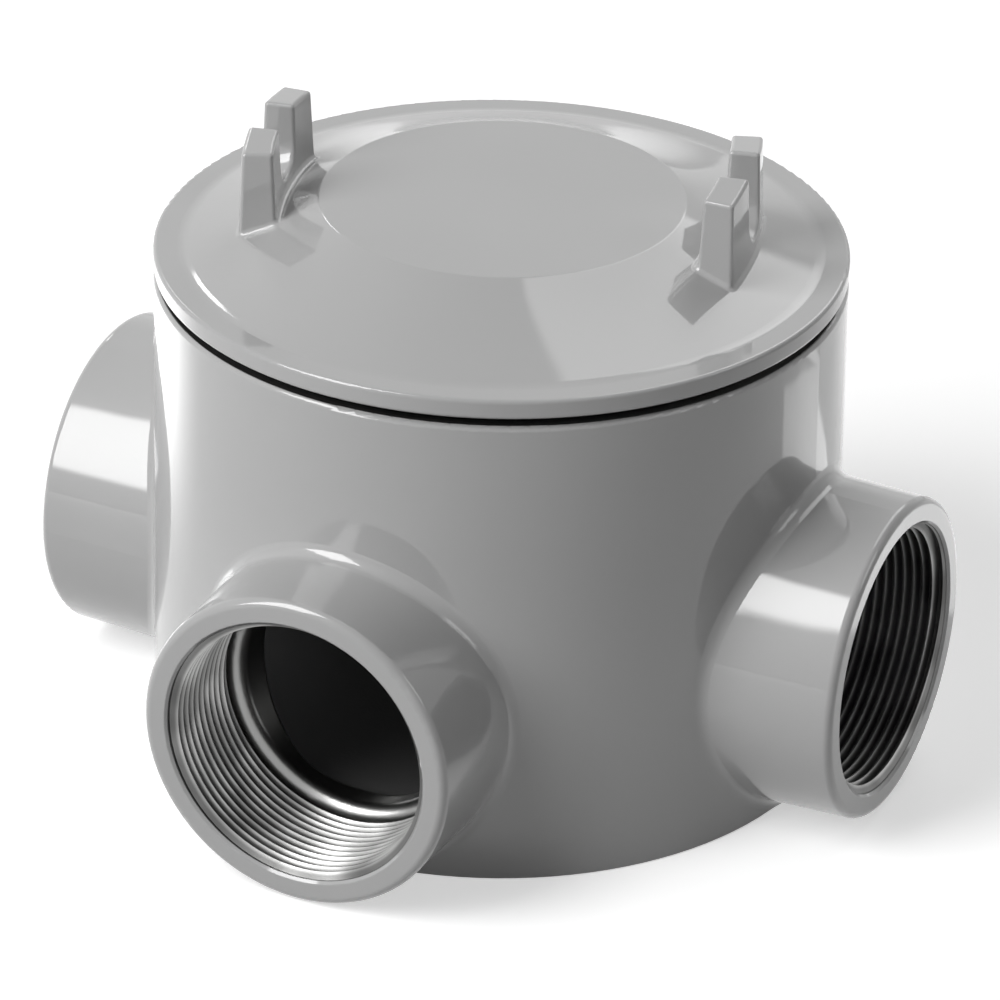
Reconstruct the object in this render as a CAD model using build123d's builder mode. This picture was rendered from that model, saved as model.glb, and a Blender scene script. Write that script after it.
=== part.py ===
"""Round explosion-proof junction box with three conduit hubs and a screw cover, in millimetres.

The origin is the centre of the base, +Z points up through the cover, +X is the axis of one of the two
opposite hubs, and -Y is the axis of the third hub.
"""

import os
from math import asin, cos, degrees, radians, sin, tan

from build123d import *

# Barrel
rim_radius = 75.0
barrel_height = 107.6
barrel_draft = 0.6
barrel_wall = 10.0
floor_thickness = 8.0
floor_corner_radius = 6.0
rim_edge_radius = 1.0

# Conduit hubs for a 2 inch taper pipe thread
hub_bearings = {"right": 0.0, "left": 180.0, "front": -90.0}
conduit_thread_radius = 30.05
conduit_lead_in = 0.6
hub_wall = 5.6
hub_draft = 1.8
hub_projection = 21.0
hub_base_rise = 0.2
hub_edge_radius = 1.8
hub_root_fillet = 3.0

# Smooth bushing cast at the inner end of each hub thread
bushing_step = 1.15
bushing_lip_radius = 2.9
bushing_land = 2.6
bushing_inner_edge = 1.2

# Thread between the cover and the barrel
mouth_thread_relief = 0.4
cover_thread_depth = 1.3
cover_thread_clearance = 0.1
mouth_thread_length = 24.0
mouth_lead_in = 1.0

# Cover
flange_gap = 1.7
flange_thickness = 4.4
flange_edge_radius = 0.8
land_width = 6.4
foot_fillet = 8.0
plateau_inset = 35.5
plateau_edge_radius = 1.2
dome_rise = 10.7
dome_bulge = 0.5
roof_thickness = 6.5
skirt_length = 20.0
skirt_wall = 7.0
skirt_lead_in = 1.2
skirt_root_radius = 5.0

# Cover lugs, in two opposite pairs, each pair cast as one bowed block with a round-bottomed slot for a bar
cover_rest_angle = 14.0
lug_inset = 23.75
lug_bow_radius = 103.0
lug_height = 23.5
lug_foot_depth = 6.0
lug_foot_width = 9.0
lug_foot_length = 12.9
lug_draft = 2.3
lug_top_slope = 6.0
lug_slot_width = 11.8
lug_slot_draft = 1.4
lug_slot_floor_radius = 5.4
lug_slot_rise = 2.6
lug_edge_radius = 0.8
lug_root_fillet = 1.2

# O-ring between the flange and the rim
seal_inset = 4.0
seal_groove_depth = 1.0
seal_side_clearance = 0.15
seal_clearance = 0.02

# Ground screw in a boss on the floor
ground_screw_inset = 18.0
ground_boss_radius = 7.0
ground_boss_height = 7.0
ground_screw_radius = 2.4
ground_screw_length = 9.0
ground_screw_clearance = 0.05
ground_head_radius = 4.8
ground_head_height = 3.2
ground_head_crown = 1.2
ground_slot_width = 1.3
ground_slot_depth = 1.5
ground_hole_spare = 1.0

# Heights and radii that follow from the sizes above
hub_radius = conduit_thread_radius + hub_wall
hub_reach = rim_radius + hub_projection
hub_axis_height = hub_radius + hub_base_rise
hub_centre_radius = hub_radius + hub_reach * tan(radians(hub_draft))
bushing_seat_radius = conduit_thread_radius - bushing_step
throat_radius = bushing_seat_radius - bushing_lip_radius
cavity_radius = rim_radius - barrel_wall
mouth_radius = cavity_radius + mouth_thread_relief + cover_thread_depth
skirt_radius = mouth_radius - cover_thread_depth - cover_thread_clearance
skirt_inner_radius = skirt_radius - skirt_wall
flange_bottom = barrel_height + flange_gap
flange_top = flange_bottom + flange_thickness
plateau_height = flange_top + dome_rise
plateau_radius = rim_radius - plateau_inset
lug_circle_radius = rim_radius - lug_inset
seal_radius = rim_radius - seal_inset
seal_section = flange_gap + seal_groove_depth - 2 * seal_clearance
ground_screw_offset = cavity_radius - ground_screw_inset
boss_top = floor_thickness + ground_boss_height
foot_radius = rim_radius - land_width
dome_slope = dome_rise / (foot_radius - plateau_radius)
# The barrel is first made too deep by this much, so that the hub roots round off whole before the base is cut
base_trim = hub_centre_radius - hub_axis_height + 3 * hub_root_fillet
trimmed_base_radius = rim_radius + (barrel_height + base_trim) * tan(radians(barrel_draft))


def outward(bearing):
    return Vector(cos(radians(bearing)), sin(radians(bearing)), 0)


def opens_into_hollow(edge):
    middle = edge.center()
    from_axis = Vector(middle.X, middle.Y).length
    return edge.geom_type == GeomType.BSPLINE and from_axis < rim_radius - barrel_wall / 2


def dome_height(radius):
    return flange_top + (foot_radius - radius) * dome_slope


def is_sharp(edge):
    first, second = (face for face in lug_pair.faces() if edge in face.edges())
    return abs(first.normal_at(edge @ 0.5).dot(second.normal_at(edge @ 0.5))) < cos(radians(lug_draft))


# Box body: a drafted barrel with three drafted hubs, rounded at their roots and faces, cut flat at the base
with BuildPart() as box_body:
    with BuildSketch(Plane.XZ):
        with BuildLine():
            Polyline(
                (0, -base_trim),
                (trimmed_base_radius, -base_trim),
                (rim_radius, barrel_height),
                (0, barrel_height),
                close=True,
            )
        make_face()
    revolve(axis=Axis.Z)
    fillet(box_body.faces().sort_by(Axis.Z)[-1].edges(), rim_edge_radius)
    for bearing in hub_bearings.values():
        with BuildSketch(Plane(origin=(0, 0, hub_axis_height), z_dir=outward(bearing))):
            Circle(hub_centre_radius)
        extrude(amount=hub_reach, taper=hub_draft)
        fillet(box_body.edges(Select.NEW), hub_root_fillet)
        hub_face = box_body.faces().sort_by(Axis((0, 0, 0), outward(bearing)))[-1]
        fillet(hub_face.edges(), hub_edge_radius)
    split(bisect_by=Plane.XY, keep=Keep.TOP)

    # Hollow, widening above into the threaded mouth
    with BuildSketch(Plane.XZ) as hollow:
        with BuildLine():
            Polyline(
                (0, floor_thickness),
                (cavity_radius, floor_thickness),
                (cavity_radius, barrel_height - mouth_thread_length),
                (mouth_radius, barrel_height - mouth_thread_length),
                (mouth_radius, barrel_height - mouth_lead_in),
                (mouth_radius + mouth_lead_in, barrel_height),
                (0, barrel_height),
                close=True,
            )
        make_face()
        floor_corner = hollow.vertices().group_by(Axis.Y)[0].sort_by(Axis.X)[-1]
        fillet(floor_corner, floor_corner_radius)
    revolve(axis=Axis.Z, mode=Mode.SUBTRACT)

    # Hub bores, from the face in: lead-in, thread, shoulder, rounded bushing lip and throat
    lip_end = cavity_radius + bushing_land
    shoulder = lip_end + bushing_lip_radius
    for bearing in hub_bearings.values():
        with BuildSketch(Plane((0, 0, hub_axis_height), x_dir=outward(bearing), z_dir=outward(bearing + 90))):
            with BuildLine():
                Polyline(
                    (0, 0),
                    (hub_reach, 0),
                    (hub_reach, conduit_thread_radius + conduit_lead_in),
                    (hub_reach - conduit_lead_in, conduit_thread_radius),
                    (shoulder, conduit_thread_radius),
                    (shoulder, bushing_seat_radius),
                )
                RadiusArc((shoulder, bushing_seat_radius), (lip_end, throat_radius), bushing_lip_radius)
                Polyline((lip_end, throat_radius), (0, throat_radius), (0, 0))
            make_face()
        revolve(axis=Axis((0, 0, hub_axis_height), outward(bearing)), mode=Mode.SUBTRACT)
    fillet(box_body.edges().filter_by(opens_into_hollow), bushing_inner_edge)

    # Boss for the ground screw, on the floor opposite the front hub
    with BuildSketch(Plane.XY.offset(floor_thickness)):
        with Locations((0, ground_screw_offset)):
            Circle(ground_boss_radius)
    extrude(amount=ground_boss_height)
    with Locations((0, ground_screw_offset, boss_top)):
        Hole(ground_screw_radius + ground_screw_clearance, depth=ground_screw_length + ground_hole_spare)

# One pair of cover lugs, drawn on +X: a bowed block with draft, its crown sloping down to both ends, and a
# slot through its middle whose floor follows the slope of the dome
with BuildPart() as lug_pair:
    pair_half_length = lug_slot_width / 2 + lug_foot_length
    with BuildSketch(Plane.XY.offset(flange_top - lug_foot_depth)):
        bow_centre = (lug_circle_radius - lug_bow_radius, 0)
        half_sector = degrees(asin(pair_half_length / lug_bow_radius))
        with BuildLine():
            outer_arc = CenterArc(bow_centre, lug_bow_radius + lug_foot_width / 2, -half_sector, 2 * half_sector)
            inner_arc = CenterArc(bow_centre, lug_bow_radius - lug_foot_width / 2, -half_sector, 2 * half_sector)
            Line(outer_arc @ 0, inner_arc @ 0)
            Line(outer_arc @ 1, inner_arc @ 1)
        make_face()
    extrude(amount=lug_foot_depth + 2 * lug_height, taper=lug_draft)
    with BuildSketch(Plane.YZ):
        ridge = flange_top + lug_height + (pair_half_length - lug_foot_length / 2) * tan(radians(lug_top_slope))
        crown_end = ridge - 2 * pair_half_length * tan(radians(lug_top_slope))
        with BuildLine():
            Polyline(
                (0, 0),
                (2 * pair_half_length, 0),
                (2 * pair_half_length, crown_end),
                (0, ridge),
                (-2 * pair_half_length, crown_end),
                (-2 * pair_half_length, 0),
                close=True,
            )
        make_face()
    extrude(amount=rim_radius, mode=Mode.INTERSECT)
    slot_floor = dome_height(lug_circle_radius) + lug_slot_rise
    slot_direction = (1, 0, -dome_slope)
    with BuildSketch(Plane((lug_circle_radius, 0, slot_floor), x_dir=(0, 1, 0), z_dir=slot_direction)) as slot:
        slot_flare = 2 * lug_height * tan(radians(lug_slot_draft))
        with BuildLine():
            Polyline(
                (-lug_slot_width / 2, 0),
                (lug_slot_width / 2, 0),
                (lug_slot_width / 2 + slot_flare, 2 * lug_height),
                (-lug_slot_width / 2 - slot_flare, 2 * lug_height),
                close=True,
            )
        make_face()
        fillet(slot.vertices().group_by(Axis.Y)[0], lug_slot_floor_radius)
    extrude(amount=rim_radius, both=True, mode=Mode.SUBTRACT)
    foot_edges = lug_pair.faces().sort_by(Axis.Z)[0].edges()
    fillet((lug_pair.edges() - foot_edges).filter_by(is_sharp), lug_edge_radius)

# Screw cover: one turned profile, its section drawn between the lug pairs, then the lugs and the hollow
with BuildPart() as screw_cover:
    section_plane = Plane((0, 0, 0), x_dir=outward(cover_rest_angle + 90), z_dir=outward(cover_rest_angle))
    with BuildSketch(section_plane) as cover_section:
        with BuildLine():
            Line((0, plateau_height), (plateau_radius, plateau_height))
            SagittaArc((plateau_radius, plateau_height), (foot_radius, flange_top), -dome_bulge)
            Polyline(
                (foot_radius, flange_top),
                (rim_radius, flange_top),
                (rim_radius, flange_bottom),
                (skirt_radius, flange_bottom),
                (skirt_radius, flange_bottom - skirt_length + skirt_lead_in),
                (skirt_radius - skirt_lead_in, flange_bottom - skirt_length),
                (0, flange_bottom - skirt_length),
                (0, plateau_height),
            )
        make_face()
        for corner, radius in (
            ((foot_radius, flange_top), foot_fillet),
            ((rim_radius, flange_top), flange_edge_radius),
            ((rim_radius, flange_bottom), flange_edge_radius),
            ((plateau_radius, plateau_height), plateau_edge_radius),
        ):
            fillet(cover_section.vertices().sort_by_distance(corner)[0], radius)
    revolve(axis=Axis.Z)

    # Two pairs of lugs, on opposite sides
    for pair_bearing in (cover_rest_angle, cover_rest_angle + 180):
        add(lug_pair.part, rotation=(0, 0, pair_bearing))
        fillet(screw_cover.edges(Select.NEW), lug_root_fillet)

    # Hollow under the roof and inside the skirt
    with BuildSketch(section_plane) as cover_hollow:
        with BuildLine():
            Polyline(
                (0, flange_bottom - skirt_length),
                (skirt_inner_radius, flange_bottom - skirt_length),
                (skirt_inner_radius, flange_top),
                (plateau_radius, plateau_height - roof_thickness),
                (0, plateau_height - roof_thickness),
                close=True,
            )
        make_face()
        skirt_root = cover_hollow.vertices().sort_by_distance((skirt_inner_radius, flange_top))[0]
        fillet(skirt_root, skirt_root_radius)
    revolve(axis=Axis.Z, mode=Mode.SUBTRACT)

    # Groove for the O-ring, open downwards
    with BuildSketch(section_plane):
        with Locations((seal_radius, flange_bottom)):
            Rectangle(seal_section + 2 * seal_side_clearance, 2 * seal_groove_depth)
    revolve(axis=Axis.Z, mode=Mode.SUBTRACT)

# O-ring, gripped between the groove's roof and the rim of the barrel
with BuildPart() as cover_o_ring:
    with BuildSketch(Plane.XZ):
        with Locations((seal_radius, barrel_height + seal_clearance + seal_section / 2)):
            Circle(seal_section / 2)
    revolve(axis=Axis.Z)

# Ground screw: a slotted pan head on a plain shank
with BuildPart() as ground_screw:
    with BuildSketch(Plane.XY.offset(boss_top)):
        with Locations((0, ground_screw_offset)):
            Circle(ground_head_radius)
    extrude(amount=ground_head_height)
    fillet(ground_screw.faces().sort_by(Axis.Z)[-1].edges(), ground_head_crown)
    with BuildSketch(Plane.XY.offset(boss_top)):
        with Locations((0, ground_screw_offset)):
            Circle(ground_screw_radius)
    extrude(amount=-ground_screw_length)
    with BuildSketch(Plane.XY.offset(boss_top + ground_head_height)):
        with Locations((0, ground_screw_offset)):
            Rectangle(2 * ground_head_radius, ground_slot_width)
    extrude(amount=-ground_slot_depth, mode=Mode.SUBTRACT)

os.makedirs("parts", exist_ok=True)
for name, piece in (
    ("box_body", box_body),
    ("screw_cover", screw_cover),
    ("cover_o_ring", cover_o_ring),
    ("ground_screw", ground_screw),
):
    piece.part.label = name
    export_step(piece.part, f"parts/{name}.step")
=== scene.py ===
import math

import bpy
from mathutils import Matrix, Vector


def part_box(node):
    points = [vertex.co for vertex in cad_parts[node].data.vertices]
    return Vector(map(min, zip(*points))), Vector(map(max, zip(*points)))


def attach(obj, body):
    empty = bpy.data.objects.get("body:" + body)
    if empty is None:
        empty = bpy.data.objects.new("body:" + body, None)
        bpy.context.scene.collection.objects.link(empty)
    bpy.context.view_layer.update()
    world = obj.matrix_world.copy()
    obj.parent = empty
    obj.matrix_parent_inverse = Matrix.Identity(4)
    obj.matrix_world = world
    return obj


# Everything is in metres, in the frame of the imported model
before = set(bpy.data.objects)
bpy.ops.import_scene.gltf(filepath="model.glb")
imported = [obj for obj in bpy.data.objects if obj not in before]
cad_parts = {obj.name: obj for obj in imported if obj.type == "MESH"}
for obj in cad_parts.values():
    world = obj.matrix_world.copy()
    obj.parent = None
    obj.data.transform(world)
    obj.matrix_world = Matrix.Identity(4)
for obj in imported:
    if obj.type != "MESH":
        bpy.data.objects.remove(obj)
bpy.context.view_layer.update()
print("frame loaded:", sorted(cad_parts))


def fillSocket(tree, socket, value):
    # Links a socket to another one, or gives it a plain value
    if isinstance(value, bpy.types.NodeSocket):
        tree.links.new(value, socket)
    else:
        socket.default_value = value


def addNode(tree, kind, inputs=None, **settings):
    node = tree.nodes.new(kind)
    for name, value in settings.items():
        setattr(node, name, value)
    for name, value in (inputs or {}).items():
        fillSocket(tree, node.inputs[name], value)
    return node


def mathNode(tree, operation, first, second=0.0, third=0.0, clamp=False):
    return addNode(tree, "ShaderNodeMath", {0: first, 1: second, 2: third},
                   operation=operation, use_clamp=clamp).outputs[0]


def vectorNode(tree, operation, first, second=(0.0, 0.0, 0.0)):
    node = addNode(tree, "ShaderNodeVectorMath", {0: first, 1: second}, operation=operation)
    return node.outputs["Value" if operation in ("LENGTH", "DOT_PRODUCT") else "Vector"]


def mapRange(tree, value, low, high, newLow=0.0, newHigh=1.0):
    inputs = {"Value": value, "From Min": low, "From Max": high, "To Min": newLow, "To Max": newHigh}
    return addNode(tree, "ShaderNodeMapRange", inputs, interpolation_type="SMOOTHSTEP").outputs["Result"]


def mixColour(tree, factor, first, second):
    return addNode(tree, "ShaderNodeMix", {0: factor, 6: first, 7: second}, data_type="RGBA").outputs[2]


def mixValue(tree, factor, first, second):
    return addNode(tree, "ShaderNodeMix", {0: factor, 2: first, 3: second}, data_type="FLOAT").outputs[0]


def noiseNode(tree, point, size, detail):
    # Noise from 0 to 1 with a grain of about the given size, which is a number or a socket
    scale = mathNode(tree, "DIVIDE", 1.0, size) if isinstance(size, bpy.types.NodeSocket) else 1 / size
    return addNode(tree, "ShaderNodeTexNoise", {"Vector": point, "Scale": scale, "Detail": detail}).outputs[0]


def newGroup(name, inputs, outputs, kind="ShaderNodeTree"):
    tree = bpy.data.node_groups.new(name, kind)
    for socketName, socketType, default in inputs:
        socket = tree.interface.new_socket(socketName, in_out="INPUT", socket_type=socketType)
        if default is not None:
            socket.default_value = default
    for socketName, socketType in outputs:
        tree.interface.new_socket(socketName, in_out="OUTPUT", socket_type=socketType)
    source = tree.nodes.new("NodeGroupInput")
    result = tree.nodes.new("NodeGroupOutput")
    return tree, source.outputs, result.inputs


def placeGroup(tree, group, inputs):
    return addNode(tree, "ShaderNodeGroup", inputs, node_tree=group).outputs


def grey(level):
    return (level, level, level, 1.0)


wearPattern = {
    "bend": (0.995, 0.90),  # cosine between the surface and its rounded edge: unworn, fully worn
    "patches": (0.42, 0.62),
}
handlingPattern = {
    "tilt": (0.4, 0.7, 0.3),
    "stretch": (1.0, 14.0, 14.0),
    "streaks": (0.60, 0.78),
    "areas": (0.5, 0.9),
    "clouds": (0.2, 0.8),
}


def makeSprayedSkin():
    # Skin of sprayed enamel: a fine peel on a long slow waviness, as a height from 0 to 1
    tree, given, result = newGroup(
        "sprayedSkin",
        [("Point", "NodeSocketVector", None), ("Peel Size", "NodeSocketFloat", 0.002),
         ("Wave Size", "NodeSocketFloat", 0.02), ("Wave Share", "NodeSocketFloat", 0.4)],
        [("Height", "NodeSocketFloat")],
    )
    peel = noiseNode(tree, given["Point"], given["Peel Size"], 1.5)
    wave = noiseNode(tree, given["Point"], given["Wave Size"], 1.0)
    tree.links.new(mixValue(tree, given["Wave Share"], peel, wave), result["Height"])
    return tree


def makeEdgeWear():
    # Where the coat runs thin over an edge, broken up by noise
    tree, given, result = newGroup(
        "edgeWear",
        [("Point", "NodeSocketVector", None), ("Radius", "NodeSocketFloat", 0.0006),
         ("Patch Size", "NodeSocketFloat", 0.004)],
        [("Mask", "NodeSocketFloat")],
    )
    rounded = addNode(tree, "ShaderNodeBevel", {"Radius": given["Radius"]}, samples=4)
    flat = tree.nodes.new("ShaderNodeNewGeometry").outputs["Normal"]
    edge = mapRange(tree, vectorNode(tree, "DOT_PRODUCT", rounded.outputs[0], flat), *wearPattern["bend"])
    noise = noiseNode(tree, given["Point"], given["Patch Size"], 3.0)
    patches = mapRange(tree, noise, *wearPattern["patches"])
    tree.links.new(mathNode(tree, "MULTIPLY", edge, patches), result["Mask"])
    return tree


def makeHandling():
    # Faint rub marks and dust: Rub is long thin streaks in some areas, Dust is soft clouds
    tree, given, result = newGroup(
        "handling",
        [("Point", "NodeSocketVector", None), ("Streak Size", "NodeSocketFloat", 0.012),
         ("Cloud Size", "NodeSocketFloat", 0.05)],
        [("Rub", "NodeSocketFloat"), ("Dust", "NodeSocketFloat")],
    )
    stretched = addNode(tree, "ShaderNodeMapping",
                        {"Vector": given["Point"], "Rotation": handlingPattern["tilt"],
                         "Scale": handlingPattern["stretch"]})
    streaks = noiseNode(tree, stretched.outputs[0], given["Streak Size"], 4.0)
    areas = noiseNode(tree, given["Point"], given["Streak Size"], 2.0)
    rub = mathNode(tree, "MULTIPLY", mapRange(tree, streaks, *handlingPattern["streaks"]),
                   mapRange(tree, areas, *handlingPattern["areas"]))
    tree.links.new(rub, result["Rub"])
    clouds = noiseNode(tree, given["Point"], given["Cloud Size"], 1.0)
    tree.links.new(mapRange(tree, clouds, *handlingPattern["clouds"]), result["Dust"])
    return tree


def makeBoreZone():
    # Mask is 1 nearer to the local X axis than Radius, from Start to End along it. Across is the distance to
    # that axis
    tree, given, result = newGroup(
        "boreZone",
        [("Point", "NodeSocketVector", None), ("Radius", "NodeSocketFloat", 0.03),
         ("Start", "NodeSocketFloat", 0.06), ("End", "NodeSocketFloat", 1.0)],
        [("Mask", "NodeSocketFloat"), ("Across", "NodeSocketFloat")],
    )
    across = vectorNode(tree, "LENGTH", vectorNode(tree, "MULTIPLY", given["Point"], (0.0, 1.0, 1.0)))
    along = addNode(tree, "ShaderNodeSeparateXYZ", {0: given["Point"]}).outputs[0]
    near = mathNode(tree, "LESS_THAN", across, given["Radius"])
    far = mathNode(tree, "GREATER_THAN", along, given["Start"])
    short = mathNode(tree, "LESS_THAN", along, given["End"])
    inside = mathNode(tree, "MULTIPLY", mathNode(tree, "MULTIPLY", near, far), short)
    tree.links.new(inside, result["Mask"])
    tree.links.new(across, result["Across"])
    return tree


sprayedSkin = makeSprayedSkin()
edgeWear = makeEdgeWear()
handling = makeHandling()
boreZone = makeBoreZone()
print("shader groups made")


def newMaterial(name):
    material = bpy.data.materials.new(name)
    material.use_nodes = True
    tree = material.node_tree
    shader = tree.nodes["Principled BSDF"]
    point = tree.nodes.new("ShaderNodeTexCoord").outputs["Object"]
    return material, tree, shader, point


enamel = {
    "colour": 0.4,
    "cloudDark": 0.975,  # shares of the colour where the dust is thin and thick
    "cloudLight": 1.03,
    "thinCoat": 0.54,  # tone where the coat runs thin on an edge
    "thinShare": 0.5,
    "thinReach": 0.0007,
    "rubTone": 0.6,
    "rubShare": 0.08,
    "rubDulling": 0.08,
    "roughness": 0.32,
    "glossier": 0.02,  # how far the roughness falls and rises with the dust
    "duller": 0.04,
    "underGloss": 0.15,  # mirror of the pigment under the clear coat
    "coatRoughness": 0.055,
    "coatIndex": 1.6,
    "peelSize": 0.0022,
    "waveSize": 0.018,
    "peelHeight": 0.00004,
    "softEdge": 0.0005,
}
bareMetal = {
    "colour": (0.4, 0.4, 0.395, 1.0),
    # tone of the thread roots: painted shade, darker than the crests
    "rootPaintedShade": (0.17, 0.17, 0.168, 1.0),
    "stainColour": (0.03, 0.03, 0.029, 1.0),
    "seatColour": (0.3, 0.3, 0.296, 1.0),
    "stainRange": (0.2, 0.9),
    "stainShare": 0.5,
    "streakSize": 0.006,
    "cloudSize": 0.012,
    "roughness": 0.29,  # kept above 0.274, since a roughness that varies across it shows contours
    "rootDulling": 0.03,
    "stainDulling": 0.02,
    "markSize": 0.0004,
    "markDepth": 0.00002,
}
# Raw casting inside the box and under the cover's dome: its dark colour is painted shade for the closed inside
# that little light reaches
castInsideShaded = {"colour": 0.16, "roughness": 0.55, "metallic": 0.6, "grainSize": 0.0008}
rubber = {"cleanTone": 0.012, "dustyTone": 0.03, "roughness": (0.55, 0.75), "grainSize": 0.0006,
          "grainHeight": 0.00003}
greenScrew = {
    "deepColour": (0.05, 0.3, 0.11, 1.0),
    "paleColour": (0.1, 0.42, 0.2, 1.0),
    "wornColour": (0.6, 0.62, 0.58, 1.0),
    "metallic": 0.9,
    "roughness": (0.28, 0.42),
    "markSize": 0.003,
    "wearReach": 0.0004,
    "wearPatch": 0.0015,
}

# Zones are round spaces along an axis, in which a surface has another finish. In a hub the axis runs outward,
# elsewhere up the barrel
hub = {
    "axisHeight": 0.03585,
    "bearings": (0, 180, -90),
    "innerEnd": 0.05,  # all threads of a hub lie further out
    "bore": {"Radius": 0.0301, "Start": 0.0655},
    "throat": {"Radius": 0.0268, "Start": 0.0585},
    "grooves": {"Radius": 0.0301, "Start": 0.0706},
}
mouth = {
    "bore": {"Radius": 0.0668, "Start": 0.0835},
    "rim": {"Radius": 1.0, "Start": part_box("box_body")[1].z - 0.00005},
}
cavity = {"Radius": 0.0652, "Start": 0.0078}
cover = {
    "seat": {"Radius": 0.0743, "Start": 0.0, "End": 0.10935},  # underside of the flange, and the skirt
    "core": {"Radius": 0.0581, "Start": 0.0, "End": 0.10935},
    "hollow": {"Radius": 0.0587, "Start": 0.0, "End": 0.1155},
    "roof": {"Radius": 0.053, "Start": 0.0, "End": 0.1185},
}
threadShade = {  # the radii at which a thread's painted tone is brightest, at its crests, and darkest, with painted shade, at its roots
    "hub": (0.0285, 0.0293),
    "mouth": (0.0656, 0.0664),
    "cover": (0.0664, 0.0656),
}


def turnedTo(tree, point, bearing):
    # The point as seen from a hub: local X runs out along the hub's axis
    lowered = vectorNode(tree, "SUBTRACT", point, (0, 0, hub["axisHeight"]))
    return addNode(tree, "ShaderNodeVectorRotate", {"Vector": lowered, "Angle": math.radians(-bearing)},
                   rotation_type="Z_AXIS").outputs[0]


def upright(tree, point):
    # Local X runs up the axis of the barrel
    parts = addNode(tree, "ShaderNodeSeparateXYZ", {0: point}).outputs
    return addNode(tree, "ShaderNodeCombineXYZ", {0: parts[2], 1: parts[0], 2: parts[1]}).outputs[0]


def anyOf(tree, masks):
    total = masks[0]
    for mask in masks[1:]:
        total = mathNode(tree, "MAXIMUM", total, mask)
    return total


def zoneMask(tree, point, zone):
    return placeGroup(tree, boreZone, {"Point": point, **zone})["Mask"]


def hubZones(tree, point, zone):
    return anyOf(tree, [zoneMask(tree, turnedTo(tree, point, bearing), zone) for bearing in hub["bearings"]])


def bodyGrooved(tree, point):
    return hubZones(tree, point, hub["grooves"])


def bodyMachined(tree, point):
    vertical = upright(tree, point)
    return anyOf(tree, [hubZones(tree, point, hub["bore"]), hubZones(tree, point, hub["throat"]),
                        zoneMask(tree, vertical, mouth["bore"]), zoneMask(tree, vertical, mouth["rim"])])


def bodyInside(tree, point):
    return zoneMask(tree, upright(tree, point), cavity)


def coverMachined(tree, point):
    vertical = upright(tree, point)
    return mathNode(tree, "SUBTRACT", zoneMask(tree, vertical, cover["seat"]),
                    zoneMask(tree, vertical, cover["core"]), clamp=True)


def coverInside(tree, point):
    vertical = upright(tree, point)
    return anyOf(tree, [zoneMask(tree, vertical, cover["hollow"]), zoneMask(tree, vertical, cover["roof"])])


def enamelMaterial(name, machined, inside, grooved=None):
    # Grey enamel outside, bare cut metal where machined(tree, point) says, painted shade between the ridges of
    # a thread where grooved says, raw casting inside with its darkness painted shade
    material, tree, shader, point = newMaterial(name)
    cut = machined(tree, point)
    rawAndShaded = inside(tree, point)
    marks = placeGroup(tree, handling, {"Point": point})
    thin = placeGroup(tree, edgeWear, {"Point": point, "Radius": enamel["thinReach"]})["Mask"]
    skin = placeGroup(tree, sprayedSkin, {"Point": point, "Peel Size": enamel["peelSize"],
                                          "Wave Size": enamel["waveSize"]})["Height"]
    tone = mixColour(tree, marks["Dust"], grey(enamel["colour"] * enamel["cloudDark"]),
                     grey(enamel["colour"] * enamel["cloudLight"]))
    tone = mixColour(tree, mathNode(tree, "MULTIPLY", thin, enamel["thinShare"]), tone,
                     grey(enamel["thinCoat"]))
    tone = mixColour(tree, mathNode(tree, "MULTIPLY", marks["Rub"], enamel["rubShare"]), tone,
                     grey(enamel["rubTone"]))
    # the inside is darkened with painted shade
    tone = mixColour(tree, rawAndShaded, tone, grey(castInsideShaded["colour"]))
    tone = mixColour(tree, cut, tone, bareMetal["seatColour"])
    # painted shade on the bore between the thread ridges
    if grooved:
        tone = mixColour(tree, grooved(tree, point), tone, bareMetal["rootPaintedShade"])
    tree.links.new(tone, shader.inputs["Base Color"])
    gloss = mapRange(tree, marks["Dust"], 0.0, 1.0, enamel["roughness"] - enamel["glossier"],
                     enamel["roughness"] + enamel["duller"])
    gloss = mathNode(tree, "MULTIPLY_ADD", marks["Rub"], enamel["rubDulling"], gloss)
    gloss = mixValue(tree, rawAndShaded, gloss, castInsideShaded["roughness"])
    tree.links.new(mixValue(tree, cut, gloss, bareMetal["roughness"]), shader.inputs["Roughness"])
    metallic = mathNode(tree, "MAXIMUM", cut, mathNode(tree, "MULTIPLY", rawAndShaded, castInsideShaded["metallic"]))
    tree.links.new(metallic, shader.inputs["Metallic"])
    shader.inputs["Specular IOR Level"].default_value = enamel["underGloss"]
    coated = mathNode(tree, "SUBTRACT", 1.0, mathNode(tree, "MAXIMUM", cut, rawAndShaded), clamp=True)
    tree.links.new(coated, shader.inputs["Coat Weight"])
    shader.inputs["Coat Roughness"].default_value = enamel["coatRoughness"]
    shader.inputs["Coat IOR"].default_value = enamel["coatIndex"]
    height = mixValue(tree, rawAndShaded, skin, noiseNode(tree, point, castInsideShaded["grainSize"], 3.0))
    soft = addNode(tree, "ShaderNodeBevel", {"Radius": enamel["softEdge"]}, samples=4)
    bump = addNode(tree, "ShaderNodeBump", {"Strength": 1.0, "Distance": enamel["peelHeight"],
                                            "Height": height, "Normal": soft.outputs[0]})
    tree.links.new(bump.outputs[0], shader.inputs["Normal"])
    return material


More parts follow.
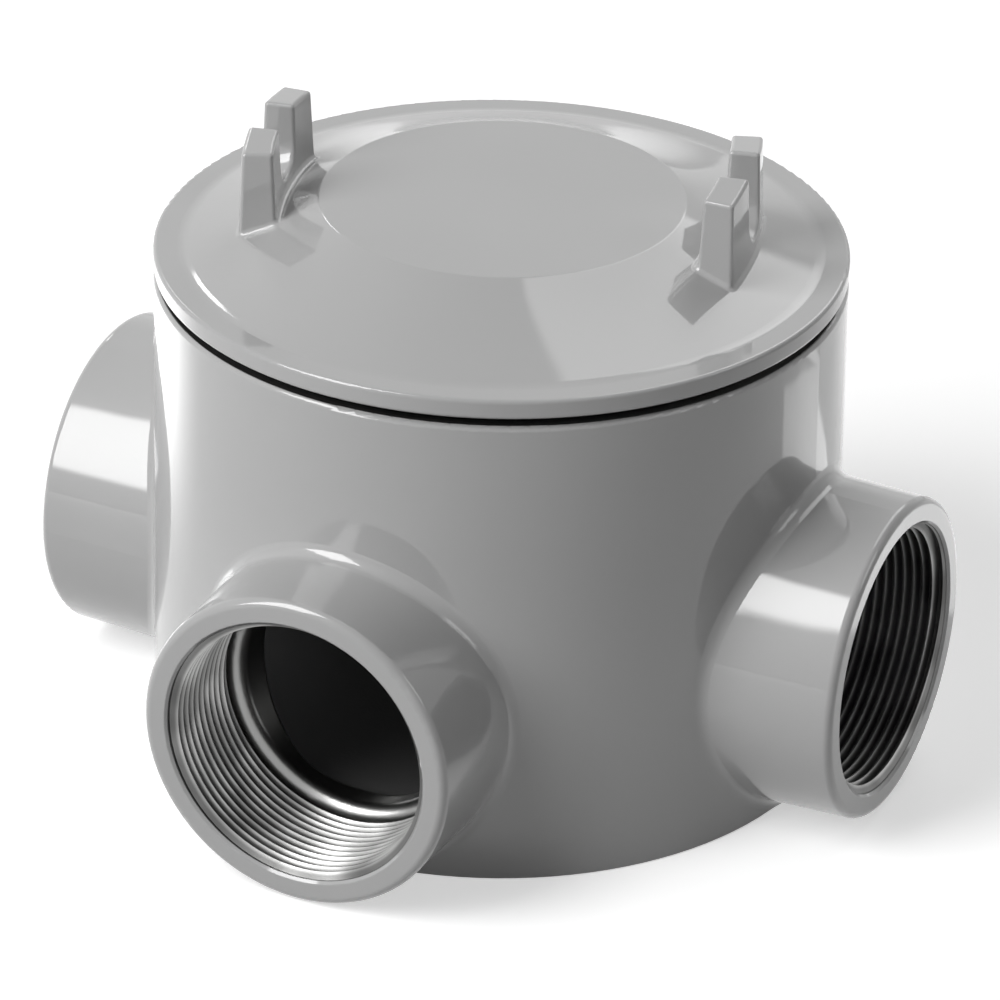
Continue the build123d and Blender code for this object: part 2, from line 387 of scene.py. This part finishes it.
def metalMaterial(name, axes, crest, root):
    # Freshly cut thread: bright worn crests, roots darkened with painted shade, fine tool marks and dull
    # clouds.
    # axes gives the bearings of the hubs that the threads are in, or None for the barrel's own axis, and crest
    # and root are radii
    material, tree, shader, point = newMaterial(name)
    across = None
    for bearing in axes:
        turned = upright(tree, point) if bearing is None else turnedTo(tree, point, bearing)
        reach = placeGroup(tree, boreZone, {"Point": turned})["Across"]
        along = addNode(tree, "ShaderNodeSeparateXYZ", {0: turned}).outputs[0]
        near = mathNode(tree, "ADD", reach, mathNode(tree, "LESS_THAN", along, hub["innerEnd"]))
        across = near if across is None else mathNode(tree, "MINIMUM", across, near)
    depth = mapRange(tree, across, crest, root)
    marks = placeGroup(tree, handling, {"Point": point, "Streak Size": bareMetal["streakSize"],
                                        "Cloud Size": bareMetal["cloudSize"]})
    # darker towards the thread roots: painted shade
    tone = mixColour(tree, depth, bareMetal["colour"], bareMetal["rootPaintedShade"])
    stained = mapRange(tree, marks["Dust"], *bareMetal["stainRange"], 0.0, bareMetal["stainShare"])
    tone = mixColour(tree, stained, tone, bareMetal["stainColour"])
    tree.links.new(tone, shader.inputs["Base Color"])
    rough = mathNode(tree, "MULTIPLY_ADD", depth, bareMetal["rootDulling"], bareMetal["roughness"])
    rough = mathNode(tree, "MULTIPLY_ADD", marks["Dust"], bareMetal["stainDulling"], rough)
    tree.links.new(rough, shader.inputs["Roughness"])
    shader.inputs["Metallic"].default_value = 1.0
    grain = noiseNode(tree, point, bareMetal["markSize"], 2.0)
    bump = addNode(tree, "ShaderNodeBump",
                   {"Strength": 1.0, "Distance": bareMetal["markDepth"], "Height": grain})
    tree.links.new(bump.outputs[0], shader.inputs["Normal"])
    return material


def rubberMaterial(name):
    material, tree, shader, point = newMaterial(name)
    dust = placeGroup(tree, handling, {"Point": point})["Dust"]
    tone = mixColour(tree, dust, grey(rubber["cleanTone"]), grey(rubber["dustyTone"]))
    tree.links.new(tone, shader.inputs["Base Color"])
    tree.links.new(mapRange(tree, dust, 0.0, 1.0, *rubber["roughness"]), shader.inputs["Roughness"])
    skin = placeGroup(tree, sprayedSkin, {"Point": point, "Peel Size": rubber["grainSize"]})["Height"]
    bump = addNode(tree, "ShaderNodeBump",
                   {"Strength": 1.0, "Distance": rubber["grainHeight"], "Height": skin})
    tree.links.new(bump.outputs[0], shader.inputs["Normal"])
    return material


def screwMaterial(name):
    # Green dyed plating, worn to metal on its edges
    material, tree, shader, point = newMaterial(name)
    dust = placeGroup(tree, handling, {"Point": point, "Cloud Size": greenScrew["markSize"],
                                       "Streak Size": greenScrew["markSize"]})["Dust"]
    wear = placeGroup(tree, edgeWear, {"Point": point, "Radius": greenScrew["wearReach"],
                                       "Patch Size": greenScrew["wearPatch"]})["Mask"]
    dyed = mixColour(tree, dust, greenScrew["deepColour"], greenScrew["paleColour"])
    tree.links.new(mixColour(tree, wear, dyed, greenScrew["wornColour"]), shader.inputs["Base Color"])
    shader.inputs["Metallic"].default_value = greenScrew["metallic"]
    tree.links.new(mapRange(tree, dust, 0.0, 1.0, *greenScrew["roughness"]), shader.inputs["Roughness"])
    return material


bodyEnamel = enamelMaterial("body_enamel", bodyMachined, bodyInside, bodyGrooved)
coverEnamel = enamelMaterial("cover_enamel", coverMachined, coverInside)
hubThreadMetal = metalMaterial("hub_thread_metal", hub["bearings"], *threadShade["hub"])
mouthThreadMetal = metalMaterial("mouth_thread_metal", (None,), *threadShade["mouth"])
coverThreadMetal = metalMaterial("cover_thread_metal", (None,), *threadShade["cover"])
sealRubber = rubberMaterial("seal_rubber")
screwGreen = screwMaterial("green_screw_finish")
for nodeName, material in (("box_body", bodyEnamel), ("screw_cover", coverEnamel),
                           ("cover_o_ring", sealRubber), ("ground_screw", screwGreen)):
    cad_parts[nodeName].data.materials.clear()
    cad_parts[nodeName].data.materials.append(material)
print("materials assigned")


tipSize = 0.05  # share of the full section that is left at the end of a run-out


def makeThreadTree():
    # One helical ridge, repeated round the barrel where a piece has several threads
    names = [
        ("Root Radius", "NodeSocketFloat", 0.03), ("Ridge Height", "NodeSocketFloat", 0.001),
        ("Pitch", "NodeSocketFloat", 0.002), ("Turns", "NodeSocketFloat", 10.0),
        ("Root Width", "NodeSocketFloat", 0.0018), ("Crest Width", "NodeSocketFloat", 0.0003),
        ("Start", "NodeSocketFloat", 0.0), ("Start Angle", "NodeSocketFloat", 0.0),
        ("Fade", "NodeSocketFloat", 0.03), ("Steps", "NodeSocketInt", 900), ("Copies", "NodeSocketInt", 1),
        ("First Bearing", "NodeSocketFloat", 0.0), ("Bearing Step", "NodeSocketFloat", 0.0),
        ("Tilt", "NodeSocketFloat", 0.0), ("Axis Height", "NodeSocketFloat", 0.0),
        ("Material", "NodeSocketMaterial", None),
    ]
    tree, given, result = newGroup("threadRidge", names, [("Geometry", "NodeSocketGeometry")],
                                   "GeometryNodeTree")
    line = addNode(tree, "GeometryNodeCurvePrimitiveLine", {"End": (0.0, 0.0, 1.0)})
    fineLine = addNode(tree, "GeometryNodeResampleCurve", {"Curve": line.outputs[0], "Count": given["Steps"]})
    along = tree.nodes.new("GeometryNodeSplineParameter").outputs["Factor"]
    turned = mathNode(tree, "MULTIPLY", along, given["Turns"])
    angle = mathNode(tree, "MULTIPLY_ADD", turned, 2 * math.pi, given["Start Angle"])
    place = addNode(tree, "ShaderNodeCombineXYZ", {
        0: mathNode(tree, "MULTIPLY", given["Root Radius"], mathNode(tree, "COSINE", angle)),
        1: mathNode(tree, "MULTIPLY", given["Root Radius"], mathNode(tree, "SINE", angle)),
        2: mathNode(tree, "MULTIPLY_ADD", turned, given["Pitch"], given["Start"]),
    })
    helix = addNode(tree, "GeometryNodeSetPosition",
                    {"Geometry": fineLine.outputs[0], "Position": place.outputs[0]})
    level = addNode(tree, "GeometryNodeSetCurveNormal", {"Curve": helix.outputs[0]}, mode="Z_UP")
    fadeIn = mathNode(tree, "DIVIDE", along, given["Fade"])
    fadeOut = mathNode(tree, "DIVIDE", mathNode(tree, "SUBTRACT", 1.0, along), given["Fade"])
    size = mathNode(tree, "MINIMUM", mathNode(tree, "MINIMUM", fadeIn, fadeOut), 1.0)
    halfRoot = mathNode(tree, "MULTIPLY", given["Root Width"], 0.5)
    halfCrest = mathNode(tree, "MULTIPLY", given["Crest Width"], 0.5)
    corners = [
        (0.0, mathNode(tree, "MULTIPLY", halfRoot, -1.0)),
        (given["Ridge Height"], mathNode(tree, "MULTIPLY", halfCrest, -1.0)),
        (given["Ridge Height"], halfCrest),
        (0.0, halfRoot),
    ]
    points = {f"Point {i + 1}": addNode(tree, "ShaderNodeCombineXYZ", {0: x, 1: y}).outputs[0]
              for i, (x, y) in enumerate(corners)}
    profile = addNode(tree, "GeometryNodeCurvePrimitiveQuadrilateral", points, mode="POINTS")
    ridge = addNode(tree, "GeometryNodeCurveToMesh",
                    {"Curve": level.outputs[0], "Profile Curve": profile.outputs[0],
                     "Scale": mathNode(tree, "MAXIMUM", size, tipSize), "Fill Caps": True})
    centre = addNode(tree, "ShaderNodeCombineXYZ", {2: given["Axis Height"]})
    dots = addNode(tree, "GeometryNodePoints", {"Count": given["Copies"], "Position": centre.outputs[0]})
    index = tree.nodes.new("GeometryNodeInputIndex").outputs[0]
    bearing = mathNode(tree, "MULTIPLY_ADD", index, given["Bearing Step"], given["First Bearing"])
    turn = addNode(tree, "ShaderNodeCombineXYZ", {1: given["Tilt"], 2: bearing})
    copies = addNode(tree, "GeometryNodeInstanceOnPoints",
                     {"Points": dots.outputs[0], "Instance": ridge.outputs[0], "Rotation": turn.outputs[0]})
    whole = addNode(tree, "GeometryNodeRealizeInstances", {"Geometry": copies.outputs[0]})
    coated = addNode(tree, "GeometryNodeSetMaterial",
                     {"Geometry": whole.outputs[0], "Material": given["Material"]})
    tree.links.new(coated.outputs[0], result["Geometry"])
    return tree


threadRidge = makeThreadTree()


def signedVolume(mesh):
    mesh.calc_loop_triangles()
    total = 0.0
    for triangle in mesh.loop_triangles:
        a, b, c = (mesh.vertices[i].co for i in triangle.vertices)
        total += a.dot(b.cross(c)) / 6
    return total


def makeThread(name, body, metal, sizes):
    helper = bpy.data.objects.new(name + "_helper", bpy.data.meshes.new(name + "_empty"))
    bpy.context.scene.collection.objects.link(helper)
    modifier = helper.modifiers.new("thread", "NODES")
    modifier.node_group = threadRidge
    wanted = dict(sizes, Material=metal)
    for item in threadRidge.interface.items_tree:
        if item.in_out == "INPUT" and item.name in wanted:
            modifier[item.identifier] = wanted[item.name]
    bpy.context.view_layer.update()
    depsgraph = bpy.context.evaluated_depsgraph_get()
    mesh = bpy.data.meshes.new_from_object(helper.evaluated_get(depsgraph), depsgraph=depsgraph)
    bpy.data.objects.remove(helper)
    mesh.name = name
    if signedVolume(mesh) < 0:
        mesh.flip_normals()
    mesh.shade_smooth()
    mesh.set_sharp_from_angle(angle=math.radians(35))
    piece = bpy.data.objects.new(name, mesh)
    bpy.context.scene.collection.objects.link(piece)
    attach(piece, body)
    print(name, "triangles", len(mesh.loop_triangles), "volume mm3", round(signedVolume(mesh) * 1e9, 1))


# Fade is the share of a thread's length over which its ridge grows at each end
inch = 0.0254
conduitThread = {
    "Root Radius": 0.03012, "Ridge Height": -0.00165, "Pitch": inch / 11.5, "Turns": 11.0,
    "Root Width": 0.00215, "Crest Width": 0.00025, "Start": 0.0709, "Start Angle": math.pi,
    "Fade": 0.04, "Steps": 1056, "Copies": 3, "First Bearing": math.pi, "Bearing Step": math.pi / 2,
    "Tilt": math.pi / 2, "Axis Height": hub["axisHeight"],
}
mouthThread = {
    "Root Radius": 0.06675, "Ridge Height": -0.00135, "Pitch": inch / 12, "Turns": 10.0,
    "Root Width": 0.0017, "Crest Width": 0.00022, "Start": 0.0850, "Start Angle": 0.0,
    "Fade": 0.02, "Steps": 1280,
}
coverPitchesUp = 3.5  # half a pitch out of step with the mouth's ridge, so that each lies in the other's groove
coverThread = {
    "Root Radius": 0.06525, "Ridge Height": 0.00135, "Pitch": mouthThread["Pitch"], "Turns": 7.0,
    "Root Width": 0.0017, "Crest Width": 0.00022, "Start Angle": 0.0,
    "Start": mouthThread["Start"] + coverPitchesUp * mouthThread["Pitch"],
    "Fade": 0.02, "Steps": 896,
}
makeThread("hub_threads", "box", hubThreadMetal, conduitThread)
makeThread("mouth_thread", "box", mouthThreadMetal, mouthThread)
makeThread("cover_thread", "cover", coverThreadMetal, coverThread)
print("threads made")

viewpoint = {
    "azimuth": 25.768,  # degrees round from the front hub towards the right hub
    "elevation": 28.234,
    "roll": 1.039,
    "distance": 1.2657,
    "lookAt": (0.00054, 0.00026, 0.0506),
    "lens": 206.63,
    "sensor": 36.0,
    "nearest": 0.05,
    "farthest": 50.0,
}


def placeCamera():
    azimuth, elevation, roll = (math.radians(viewpoint[k]) for k in ("azimuth", "elevation", "roll"))
    back = Vector((math.sin(azimuth) * math.cos(elevation), -math.cos(azimuth) * math.cos(elevation),
                   math.sin(elevation)))
    right = Vector((math.cos(azimuth), math.sin(azimuth), 0.0))
    up = back.cross(right)
    tiltedRight = right * math.cos(roll) + up * math.sin(roll)
    tiltedUp = up * math.cos(roll) - right * math.sin(roll)
    data = bpy.data.cameras.new("camera")
    data.lens, data.sensor_width = viewpoint["lens"], viewpoint["sensor"]
    data.clip_start, data.clip_end = viewpoint["nearest"], viewpoint["farthest"]
    camera = bpy.data.objects.new("camera", data)
    bpy.context.scene.collection.objects.link(camera)
    place = Vector(viewpoint["lookAt"]) + back * viewpoint["distance"]
    turn = Matrix((tiltedRight, tiltedUp, back)).transposed().to_4x4()
    camera.matrix_world = Matrix.Translation(place) @ turn
    bpy.context.scene.camera = camera


def addPanel(name, place, size, level, soft=0.1, facing=None, upward=(0.0, 0.0, 1.0)):
    # A panel light, turned to the object unless facing is given. level is its brightness in a mirror, and soft
    # the share of its width over which that falls away to each side
    back = -Vector(facing) if facing else (Vector(place) - Vector(studio["aim"])).normalized()
    up = Vector(upward)
    up = (up - back * up.dot(back)).normalized()
    data = bpy.data.lights.new(name, "AREA")
    data.shape = "RECTANGLE"
    data.size, data.size_y = size
    data.energy = level * math.pi * size[0] * size[1]
    data.use_nodes = True
    tree = data.node_tree
    spot = tree.nodes.new("ShaderNodeNewGeometry").outputs["Parametric"]
    strength = None
    for axis in addNode(tree, "ShaderNodeSeparateXYZ", {0: spot}).outputs[:2]:
        inward = mathNode(tree, "MINIMUM", axis, mathNode(tree, "SUBTRACT", 1.0, axis))
        edge = mapRange(tree, inward, 0.0, soft)
        strength = edge if strength is None else mathNode(tree, "MULTIPLY", strength, edge)
    tree.links.new(strength, tree.nodes["Emission"].inputs["Strength"])
    light = bpy.data.objects.new(name, data)
    bpy.context.scene.collection.objects.link(light)
    turn = Matrix((up.cross(back), up, back)).transposed().to_4x4()
    light.matrix_world = Matrix.Translation(place) @ turn
    light.visible_camera = False


studio = {
    "ambient": 0.06,
    "aim": (0.0, 0.0, 0.06),
    "floorHalf": 6.0,
    "floorDrop": 0.0002,
    "floorTone": 0.8,
    "floorSpread": 0.01,
    "floorPatch": 1 / 3,
    "floorRoughness": 0.9,
    "floorBounce": 0.36,  # tone that the floor has for the light it throws back onto the box
    "floorLift": 0.5,  # light of the floor's own, so that it shows as white
    "panels": {
        "key": {"place": (-0.98, -1.44, 1.41), "size": (1.2, 2.1), "level": 7.8, "soft": 0.1},
        "back_strip": {"place": (0.008, 0.958, 1.229), "size": (0.56, 1.5), "level": 1.8, "soft": 0.08,
                       "upward": (0.257, -0.693, 0.672)},
        "back_left": {"place": (-0.816, 0.774, 0.826), "size": (0.13, 0.22), "level": 8.0, "soft": 0.25,
                      "upward": (0.09, -0.18, 0.35)},
        "right_fill": {"place": (1.34, 0.36, 0.8), "size": (0.7, 0.7), "level": 1.9, "soft": 0.2},
        "table_left": {"place": (-0.225, 0.04, 0.0008), "size": (0.22, 0.22), "level": 2.1, "soft": 0.45,
                       "facing": (0.0, 0.0, 1.0), "upward": (0.0, 1.0, 0.0)},
        "table_right": {"place": (0.15, 0.126, 0.0008), "size": (0.115, 0.1), "level": 1.0, "soft": 0.05,
                        "facing": (0.0, 0.0, 1.0), "upward": (-0.68, 0.73, 0.0)},
    },
}


def seenDirectly(tree):
    # 1 for camera, mirror and see-through rays, 0 for light that falls on other surfaces
    rays = tree.nodes.new("ShaderNodeLightPath").outputs
    seen = mathNode(tree, "ADD", rays["Is Camera Ray"], rays["Is Glossy Ray"])
    return mathNode(tree, "ADD", seen, rays["Is Transmission Ray"], clamp=True)


def makeWorld():
    world = bpy.data.worlds.new("studio")
    bpy.context.scene.world = world
    world.use_nodes = True
    tree = world.node_tree
    tree.nodes.clear()
    strength = mapRange(tree, seenDirectly(tree), 0.0, 1.0, studio["ambient"], 1.0)
    background = addNode(tree, "ShaderNodeBackground", {"Color": grey(1.0), "Strength": strength})
    output = tree.nodes.new("ShaderNodeOutputWorld")
    tree.links.new(background.outputs[0], output.inputs[0])


def makeFloor():
    half = studio["floorHalf"]
    mesh = bpy.data.meshes.new("floor")
    corners = [(-half, -half, 0), (half, -half, 0), (half, half, 0), (-half, half, 0)]
    mesh.from_pydata(corners, [], [(0, 1, 2, 3)])
    floor = bpy.data.objects.new("floor", mesh)
    bpy.context.scene.collection.objects.link(floor)
    floor.location.z = -studio["floorDrop"]
    material, tree, shader, point = newMaterial("floor_white")
    patches = noiseNode(tree, point, studio["floorPatch"], 2.0)
    bounced = tree.nodes.new("ShaderNodeLightPath").outputs["Is Diffuse Ray"]
    tone = mixColour(tree, patches, grey(studio["floorTone"] - studio["floorSpread"]),
                     grey(studio["floorTone"] + studio["floorSpread"]))
    tone = mixColour(tree, bounced, tone, grey(studio["floorBounce"]))
    tree.links.new(tone, shader.inputs["Base Color"])
    shader.inputs["Roughness"].default_value = studio["floorRoughness"]
    shader.inputs["Specular IOR Level"].default_value = 0.0
    shader.inputs["Emission Color"].default_value = grey(1.0)
    lift = mathNode(tree, "MULTIPLY", seenDirectly(tree), studio["floorLift"])
    tree.links.new(lift, shader.inputs["Emission Strength"])
    mesh.materials.append(material)


placeCamera()
makeWorld()
makeFloor()
for name, panel in studio["panels"].items():
    addPanel(name, **panel)
bpy.context.scene.view_settings.view_transform = "Standard"
print("camera, light and floor set")
